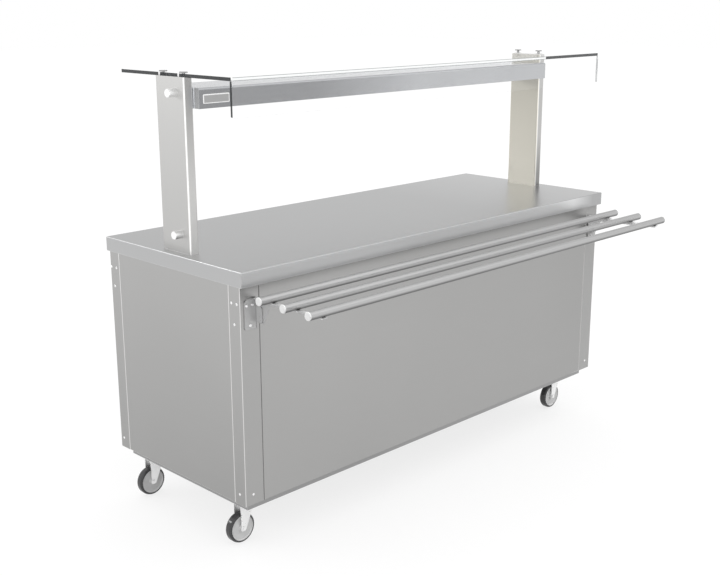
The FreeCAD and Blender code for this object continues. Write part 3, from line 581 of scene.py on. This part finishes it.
# Steel tones, linear, for what faces the front, an end, up and down: on flat faces, on bends, along edges. They
# are painted light and shade: each way a face looks gets its own brightness, runs along an axis paint gradients of
# light and reflection, light bends and edges are painted highlights, and dark bends and edges are dark seams and
# painted shadow lines.
WORKTOP_FACES = tones(run_along("X", (0.71, 0.75), (0.84, 0.43)), 0.47,
                      run_along("X", (0.3, 0.36), (0.9, 0.44)), 0.36)
WORKTOP_BENDS = tones(0.34, 0.95, 0.50, 0.36)
WORKTOP_EDGES = tones(0.50, 0.80, 0.42, 0.30)
PANEL_FACES = tones(0.42, run_along("Z", (0.18, 0.355), (0.86, 0.43)), 0.40, 0.30)
PANEL_EDGES = tones(0.20, 0.78, 0.60, 0.30)
FRONT_FACES = tones(run_along("X", (-0.6, 0.425), (0.8, 0.37)), 0.40, 0.40, 0.30)
# The front panel's seam: a dark line, with a painted highlight towards its right end
SEAM_RUN = run_along("X", (0.75, 0.2), (0.8, 0.95))
SEAM_BENDS = tones(SEAM_RUN, SEAM_RUN, 0.60, 0.30)
SEAM_EDGES = tones(SEAM_RUN, 0.78, 0.60, 0.30)
BASE_FACES = tones(0.335, 0.315, 0.40, 0.30)
GANTRY_FACES = tones(run_along("Z", (0.92, 0.78), (1.38, 0.38)),
                     run_along("Z", (0.9, 0.515), (1.42, 0.595)), 0.57, 0.40)
GANTRY_FAR_FACES = tones(run_along("Z", (0.95, 0.3), (1.1, 0.54)),
                         run_along("Z", (1.0, 0.65), (1.41, 0.4)), 0.57, 0.40)
GANTRY_BENDS = tones(0.96, 0.96, 0.96, 0.96)
CANOPY_FACES = tones(run_along("X", (-0.4, 0.29), (0.1, 0.51)), 0.78,
                     run_along("X", (-0.84, 0.5), (0.84, 0.66)), 0.36)
CANOPY_BENDS = tones(0.36, 0.70, 0.42, 0.36)
INNER_FACES = tones(0.36, 0.36, 0.36, 0.36)
PLATE_FACES = tones(0.55, 0.66, 0.50, 0.40)
PLATE_BENDS = tones(0.16, 0.16, 0.30, 0.30)
PLATE_EDGES = tones(0.34, 0.34, 0.40, 0.30)
STUD_FACES = tones(0.95, 0.97, 0.98, 0.92)
ALUMINIUM_FACES = tones(0.42, 0.55, 0.60, 0.50)
BRIGHT_BENDS = tones(0.78, 0.78, 0.78, 0.78)
BRIGHT_EDGES = tones(0.72, 0.78, 0.78, 0.50)

LOOKS = {
    "worktop_steel": brushed_steel("worktop_steel", WORKTOP_FACES, WORKTOP_BENDS, WORKTOP_EDGES,
                                   STEEL_ALONG_X, roughness=0.3, tint=WORKTOP_TINT),
    "panel_steel": brushed_steel("panel_steel", PANEL_FACES, BRIGHT_BENDS, PANEL_EDGES, STEEL_LEVEL,
                                 roughness=0.34, tint=PANEL_TINT),
    "front_panel_steel": brushed_steel("front_panel_steel", FRONT_FACES, SEAM_BENDS, SEAM_EDGES, STEEL_LEVEL,
                                       roughness=0.34, tint=PANEL_TINT),
    "post_steel": brushed_steel("post_steel", PANEL_FACES, BRIGHT_BENDS, BRIGHT_EDGES, STEEL_LEVEL,
                                roughness=0.34, tint=PANEL_TINT, metallic=0.4),
    "base_steel": brushed_steel("base_steel", BASE_FACES, BRIGHT_BENDS, BRIGHT_EDGES, STEEL_LEVEL,
                                roughness=0.36),
    "gantry_steel": brushed_steel("gantry_steel", GANTRY_FACES, GANTRY_BENDS, BRIGHT_EDGES, STEEL_UPRIGHT,
                                  roughness=0.36, tint=GANTRY_TINT, has_inside=False),
    # The right upright: a copy of the gantry steel with painted light and shade of its own and a painted warm
    # reflection
    "gantry_far_steel": brushed_steel("gantry_far_steel", GANTRY_FAR_FACES, GANTRY_BENDS, BRIGHT_EDGES,
                                      STEEL_UPRIGHT, roughness=0.36, tint=GANTRY_TINT,
                                      left_reflection_tint=GANTRY_WARM_REFLECTION_TINT, has_inside=False),
    "canopy_steel": brushed_steel("canopy_steel", CANOPY_FACES, CANOPY_BENDS, CANOPY_BENDS, STEEL_ALONG_X,
                                  roughness=0.26, tint=CANOPY_TINT, depth=0.004, has_inside=False),
    "inner_steel": brushed_steel("inner_steel", INNER_FACES, BRIGHT_BENDS, BRIGHT_EDGES, STEEL_ALONG_X,
                                 roughness=0.38),
    "rail_steel": satin_tube("rail_steel", roughness=0.42),
    "arm_metal": polished_metal("arm_metal", tone=0.62, roughness=0.45, metallic=0.25),
    # A lit copy of arm_metal, painted lighter
    "lit_arm_metal": polished_metal("lit_arm_metal", tone=0.95, roughness=0.45, metallic=0.25),
    "bracket_steel": brushed_steel("bracket_steel", PLATE_FACES, PLATE_BENDS, PLATE_EDGES, STEEL_UPRIGHT,
                                   roughness=0.4, metallic=0.4),
    "stud_steel": brushed_steel("stud_steel", STUD_FACES, STUD_FACES, STUD_FACES, STEEL_UPRIGHT,
                                roughness=0.36, has_inside=False),
    "bright_metal": polished_metal("bright_metal", tone=0.9, roughness=0.12),
    "cap_metal": polished_metal("cap_metal", tone=0.3, roughness=0.2),
    "pull_metal": polished_metal("pull_metal", tone=0.5, roughness=0.3),
    "glass": clear_glass(),
    "soft_pad": moulded_plastic("soft_pad", (0.8, 0.8, 0.79), roughness=0.6, skin_height=0.0002),
    "pale_plastic": moulded_plastic("pale_plastic", (0.95, 0.95, 0.945), roughness=0.4,
                                    skin_height=0.0001),
    "aluminium": brushed_steel("aluminium", ALUMINIUM_FACES, BRIGHT_BENDS, BRIGHT_EDGES, STEEL_ALONG_X,
                               roughness=0.36),
    "opal_plastic": opal_plastic(),
    "dark_plastic": moulded_plastic("dark_plastic", (0.022, 0.022, 0.024), roughness=0.35,
                                    skin_height=0.0001),
    "castor_zinc": polished_metal("castor_zinc", tone=0.97, roughness=0.36, metallic=0.7),
    "wheel_grey": moulded_plastic("wheel_grey", (0.74, 0.74, 0.74), roughness=0.4, skin_height=0.0001),
    "tyre_rubber": moulded_plastic("tyre_rubber", (0.05, 0.05, 0.052), roughness=0.12, skin_height=0.00003),
}

# Nodes whose look isn't the one of their slot
OWN_LOOKS = {
    "canopy": "canopy_steel",
    "base_pan": "base_steel",
    "front_panel": "front_panel_steel",
    "post_front_right": "post_steel",
    # The right upright gets a copy of its steel with its own painted light and shade
    "upright_right": "gantry_far_steel",
    "glass_fixings": "cap_metal",
    "door_left_pull": "pull_metal",
    "door_right_pull": "pull_metal",
    "end_studs": "stud_steel",
    "tray_plate_right": "post_steel",
    "tray_arm_left": "arm_metal",
    # The right arm gets a lit copy of the arm metal, painted lighter
    "tray_arm_right": "lit_arm_metal",
    "tray_pivots": "arm_metal",
}


def dress_frame():
    """Gives each CAD node the look of its slot, or its own."""
    for part in frame["record"]["subparts"]:
        name = part["node"]
        look = LOOKS[OWN_LOOKS.get(name, part["material_slot"])]
        mesh = nodes[name].data
        mesh.materials.clear()
        mesh.materials.append(look)


# Small pieces: turned outlines as shares of a radius and a height, then sizes and places

TO_FRONT = (0, -1, 0)
TO_REAR = (0, 1, 0)
DOWN = (0, 0, -1)
SHARP_ANGLE = 35.0
ROUND_SIDES = 20

RIVET_OUTLINE = ((0, 0), (1, 0), (0.93, 0.5), (0.62, 0.9), (0, 1))
RIVET_RADIUS = 0.0042
RIVET_HEIGHT = 0.0016
RIVET_FOOT = 0.213
RIVET_MIDDLE = 0.74
RIVET_TOP = 0.802
RIVET_ACROSS = 0.867
END_RIVETS = (
    (-0.14825, RIVET_TOP),
    (-0.17225, RIVET_TOP),
    (-0.15925, RIVET_MIDDLE),
    (-0.15825, RIVET_FOOT),
    (0.44075, RIVET_TOP),
    (0.46775, RIVET_TOP),
    (0.45435, RIVET_MIDDLE),
    (0.45675, RIVET_FOOT),
)

SCREW_OUTLINE = ((0, 0), (1, 0), (1, 0.5), (0.85, 0.9), (0.7, 1), (0.45, 1), (0.4275, 0.35), (0, 0.35))
SCREW_RADIUS = 0.0048
SCREW_HEIGHT = 0.0026
PLATE_SCREWS = ((0.8746, 0.797), (0.8529, 0.797), (0.863, 0.737))
TRAY_PLATE_THICKNESS = 0.003
ARM_FLANGE_MIDDLE = 0.006
ARM_FLANGE_THICKNESS = 0.003

BOLT_OUTLINE = ((0, 0), (1, 0), (1, 0.8), (0.88, 1), (0, 1))
BOLT_RADIUS = 0.0065
BOLT_HEIGHT = 0.005
BOLT_SIDES = 6
BOLT_SHARP_ANGLE = 20.0
BOLT_FROM_SWIVEL_X = 0.036
BOLT_FROM_SWIVEL_Y = 0.021
CASTOR_PLATE_THICKNESS = 0.003
CASTORS = ("front_left", "front_right", "rear_left", "rear_right")

CANOPY_PLATE_X = (-0.823, -0.727)
CANOPY_PLATE_Z = (1.344, 1.371)
CANOPY_PLATE_DEPTH = 0.0012
RIM_WIDTH = 0.0025
RIM_BEHIND_PLATE = 0.0006
RIM_CORNER = 0.003
RIM_EDGE = 0.0003
PLATE_CORNER = 0.002
PLATE_EDGE = 0.0004
CORNER_STEPS = 5

PIN_RADIUS = 0.0015
PIN_TIP_RADIUS = 0.0008
PIN_SHAFT = 0.009
PIN_LENGTH = 0.0105
PIN_SIDES = 12
PIN_PLACES = ((-0.003, -0.007), (0.003, 0.0), (-0.003, 0.007))
INLET_DEPTH = 0.015


def piece(name, mesh, slot, body, sharp_angle=SHARP_ANGLE):
    """A finished piece from a bmesh, with the look of a slot, riding on a body."""
    bmesh.ops.recalc_face_normals(mesh, faces=mesh.faces)
    data = bpy.data.meshes.new(name)
    mesh.to_mesh(data)
    mesh.free()
    for face in data.polygons:
        face.use_smooth = True
    data.set_sharp_from_angle(angle=math.radians(sharp_angle))
    data.materials.append(LOOKS[slot])
    made = bpy.data.objects.new(name, data)
    bpy.context.scene.collection.objects.link(made)
    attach(made, body)


def scaled(outline, radius, height):
    """An outline at a real radius and height."""
    return [(radius * across, height * up) for across, up in outline]


def turned(mesh, centre, axis, outline, sides=ROUND_SIDES):
    """Adds a turned solid to a mesh, from (radius, height) pairs that start and end on the axis."""
    turn = Vector((0, 0, 1)).rotation_difference(Vector(axis)).to_matrix()
    rings = []
    for radius, height in outline:
        if radius == 0:
            rings.append([mesh.verts.new(Vector(centre) + turn @ Vector((0, 0, height)))])
            continue
        ring = []
        for i in range(sides):
            angle = 2 * math.pi * i / sides
            spot = Vector((radius * math.cos(angle), radius * math.sin(angle), height))
            ring.append(mesh.verts.new(Vector(centre) + turn @ spot))
        rings.append(ring)
    for low, high in zip(rings, rings[1:]):
        for i in range(sides):
            j = (i + 1) % sides
            corners = [low[i % len(low)], low[j % len(low)], high[j % len(high)], high[i % len(high)]]
            mesh.faces.new(list(dict.fromkeys(corners)))


def both_ends(places):
    """The same places at the left and the right end of the counter."""
    return [(side * x, y, z) for side in (-1, 1) for x, y, z in places]


def post_rivets():
    """Rivets through the posts into the frame behind them."""
    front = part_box("post_front_left")[0]
    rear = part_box("post_rear_left")[1]
    rivet = scaled(RIVET_OUTLINE, RIVET_RADIUS, RIVET_HEIGHT)
    mesh = bmesh.new()
    for place in both_ends([(RIVET_ACROSS, front.y, RIVET_FOOT)]):
        turned(mesh, place, TO_FRONT, rivet)
    for y, z in END_RIVETS:
        for side in (-1, 1):
            turned(mesh, (side * -front.x, y, z), (side, 0, 0), rivet)
    for place in both_ends([(RIVET_ACROSS, rear.y, z) for z in (RIVET_FOOT, RIVET_TOP)]):
        turned(mesh, place, TO_REAR, rivet)
    piece("post_rivets", mesh, "bright_metal", "cabinet")


def tray_plate_screws():
    """Screws that hold the tray rail's plates to the posts."""
    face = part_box("tray_plate_left")[1].y - TRAY_PLATE_THICKNESS
    screw = scaled(SCREW_OUTLINE, SCREW_RADIUS, SCREW_HEIGHT)
    mesh = bmesh.new()
    for x, z in PLATE_SCREWS:
        for place in both_ends([(x, face, z)]):
            turned(mesh, place, TO_FRONT, screw)
    piece("tray_plate_screws", mesh, "bright_metal", "cabinet")


def tray_tube_screws():
    """Screws under the arms' flanges that hold the tubes."""
    arm_low, arm_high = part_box("tray_arm_left")
    screw = scaled(SCREW_OUTLINE, SCREW_RADIUS, SCREW_HEIGHT)
    mesh = bmesh.new()
    for tube in ("inner", "middle", "outer"):
        tube_low, tube_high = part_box("tray_tube_" + tube)
        middle = (tube_low.y + tube_high.y) / 2
        place = (-arm_low.x - ARM_FLANGE_MIDDLE, middle, arm_high.z - ARM_FLANGE_THICKNESS)
        for spot in both_ends([place]):
            turned(mesh, spot, DOWN, screw)
    piece("tray_tube_screws", mesh, "bright_metal", "tray_rail")


def castor_bolts():
    """Four bolts under each castor's plate."""
    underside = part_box("castor_plates")[1].z - CASTOR_PLATE_THICKNESS
    bolt = scaled(BOLT_OUTLINE, BOLT_RADIUS, BOLT_HEIGHT)
    mesh = bmesh.new()
    for castor in CASTORS:
        swivel = next(joint for joint in frame["joints"] if joint["name"] == "swivel_" + castor + "_turn")
        x, y = swivel["pos_m"][:2]
        for dx in (-BOLT_FROM_SWIVEL_X, BOLT_FROM_SWIVEL_X):
            for dy in (-BOLT_FROM_SWIVEL_Y, BOLT_FROM_SWIVEL_Y):
                turned(mesh, (x + dx, y + dy, underside), DOWN, bolt, BOLT_SIDES)
    piece("castor_bolts", mesh, "castor_zinc", "cabinet", BOLT_SHARP_ANGLE)


def rounded_slab(mesh, low, high, corner, edge):
    """Adds a thin slab that faces -Y, with round corners and a softened front edge."""
    outlines = []
    for y, inset in ((high.y, 0.0), (low.y + edge, 0.0), (low.y, edge)):
        ring = []
        radius = corner - inset
        for sx, sz, start in ((1, 1, 0), (-1, 1, 90), (-1, -1, 180), (1, -1, 270)):
            middle_x = (high.x - corner) if sx > 0 else (low.x + corner)
            middle_z = (high.z - corner) if sz > 0 else (low.z + corner)
            for step in range(CORNER_STEPS + 1):
                angle = math.radians(start + 90 * step / CORNER_STEPS)
                spot = (middle_x + radius * math.cos(angle), y, middle_z + radius * math.sin(angle))
                ring.append(mesh.verts.new(spot))
        outlines.append(ring)
    for back, front in zip(outlines, outlines[1:]):
        for i in range(len(back)):
            j = (i + 1) % len(back)
            mesh.faces.new((back[i], back[j], front[j], front[i]))
    mesh.faces.new(outlines[0])
    mesh.faces.new(outlines[-1])


def canopy_plate():
    """A bare plate with a bright rim on the canopy's front."""
    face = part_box("canopy")[0].y
    low = Vector((CANOPY_PLATE_X[0], face - CANOPY_PLATE_DEPTH, CANOPY_PLATE_Z[0]))
    high = Vector((CANOPY_PLATE_X[1], face, CANOPY_PLATE_Z[1]))
    behind = Vector((0.0, RIM_BEHIND_PLATE, 0.0))
    rim = Vector((RIM_WIDTH, 0.0, RIM_WIDTH))
    mesh = bmesh.new()
    rounded_slab(mesh, low + behind, high, RIM_CORNER, RIM_EDGE)
    piece("canopy_plate_rim", mesh, "bright_metal", "cabinet")
    mesh = bmesh.new()
    rounded_slab(mesh, low + rim, high - rim, PLATE_CORNER, PLATE_EDGE)
    piece("canopy_plate", mesh, "aluminium", "cabinet")


def inlet_pins():
    """Three pins that stand in the mains inlet."""
    low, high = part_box("mains_inlet")
    middle = (low + high) / 2
    floor = high.y - INLET_DEPTH
    tip = [(PIN_RADIUS, PIN_SHAFT), (PIN_TIP_RADIUS, PIN_LENGTH), (0, PIN_LENGTH)]
    pin = [(0, 0), (PIN_RADIUS, 0)] + tip
    mesh = bmesh.new()
    for dx, dz in PIN_PLACES:
        turned(mesh, (middle.x + dx, floor, middle.z + dz), TO_REAR, pin, PIN_SIDES)
    piece("inlet_pins", mesh, "bright_metal", "cabinet")


# Room, light and camera

def seen_white(tree):
    """1 for what the camera sees, directly, in metal or through glass."""
    path = node(tree, "LightPath").outputs
    seen = math_node(tree, "MAXIMUM", path["Is Camera Ray"], path["Is Glossy Ray"])
    return math_node(tree, "MAXIMUM", seen, path["Is Transmission Ray"])


def floor_look():
    """A plain pale floor that is white where it is seen and keeps a soft shadow."""
    material, tree, shader = new_look("floor")
    shader.inputs["Base Color"].default_value = FLOOR_COLOUR
    shader.inputs["Roughness"].default_value = FLOOR_ROUGHNESS
    shader.inputs["Specular IOR Level"].default_value = 0.0
    shader.inputs["Emission Color"].default_value = WHITE
    glow = spread(tree, seen_white(tree), 0.0, FLOOR_GLOW, 0.0, 1.0)
    tree.links.new(glow, shader.inputs["Emission Strength"])
    return material


def room():
    """A floor that runs out to a white background."""
    mesh = bmesh.new()
    corners = [(-FLOOR_HALF, -FLOOR_HALF, 0), (FLOOR_HALF, -FLOOR_HALF, 0),
               (FLOOR_HALF, FLOOR_HALF, 0), (-FLOOR_HALF, FLOOR_HALF, 0)]
    mesh.faces.new([mesh.verts.new(corner) for corner in corners])
    data = bpy.data.meshes.new("floor")
    mesh.to_mesh(data)
    mesh.free()
    data.materials.append(floor_look())
    floor = bpy.data.objects.new("floor", data)
    bpy.context.scene.collection.objects.link(floor)


def world_light():
    """White where it is seen or reflected, and a plain soft light on everything else."""
    world = bpy.data.worlds.new("studio")
    bpy.context.scene.world = world
    world.use_nodes = True
    tree = world.node_tree
    background = tree.nodes["Background"]
    background.inputs["Color"].default_value = WHITE
    strength = spread(tree, seen_white(tree), WORLD_SOFT_LIGHT, 1.0, 0.0, 1.0)
    tree.links.new(strength, background.inputs["Strength"])


def lamp(name, place, aim, width, power):
    """A square soft lamp that points at a place."""
    data = bpy.data.lights.new(name, "AREA")
    data.size = width
    data.energy = power
    made = bpy.data.objects.new(name, data)
    turn = (Vector(aim) - Vector(place)).to_track_quat("-Z", "Y")
    made.matrix_world = Matrix.Translation(place) @ turn.to_matrix().to_4x4()
    bpy.context.scene.collection.objects.link(made)


def lights():
    """A large lamp over the customer side, one behind on the left and a low one at the left."""
    for row in LAMPS:
        lamp(*row)


def camera():
    """The photograph's view."""
    data = bpy.data.cameras.new("camera")
    data.sensor_width = SENSOR_WIDTH
    data.lens = CAMERA_LENS
    made = bpy.data.objects.new("camera", data)
    turn = Vector(CAMERA_AIM).to_track_quat("-Z", "Y") @ Quaternion((0, 0, 1), CAMERA_ROLL)
    made.matrix_world = Matrix.Translation(CAMERA_PLACE) @ turn.to_matrix().to_4x4()
    bpy.context.scene.collection.objects.link(made)
    bpy.context.scene.camera = made


dress_frame()
post_rivets()
tray_plate_screws()
tray_tube_screws()
castor_bolts()
canopy_plate()
inlet_pins()
room()
world_light()
lights()
camera()
bpy.context.scene.view_settings.view_transform = "Standard"
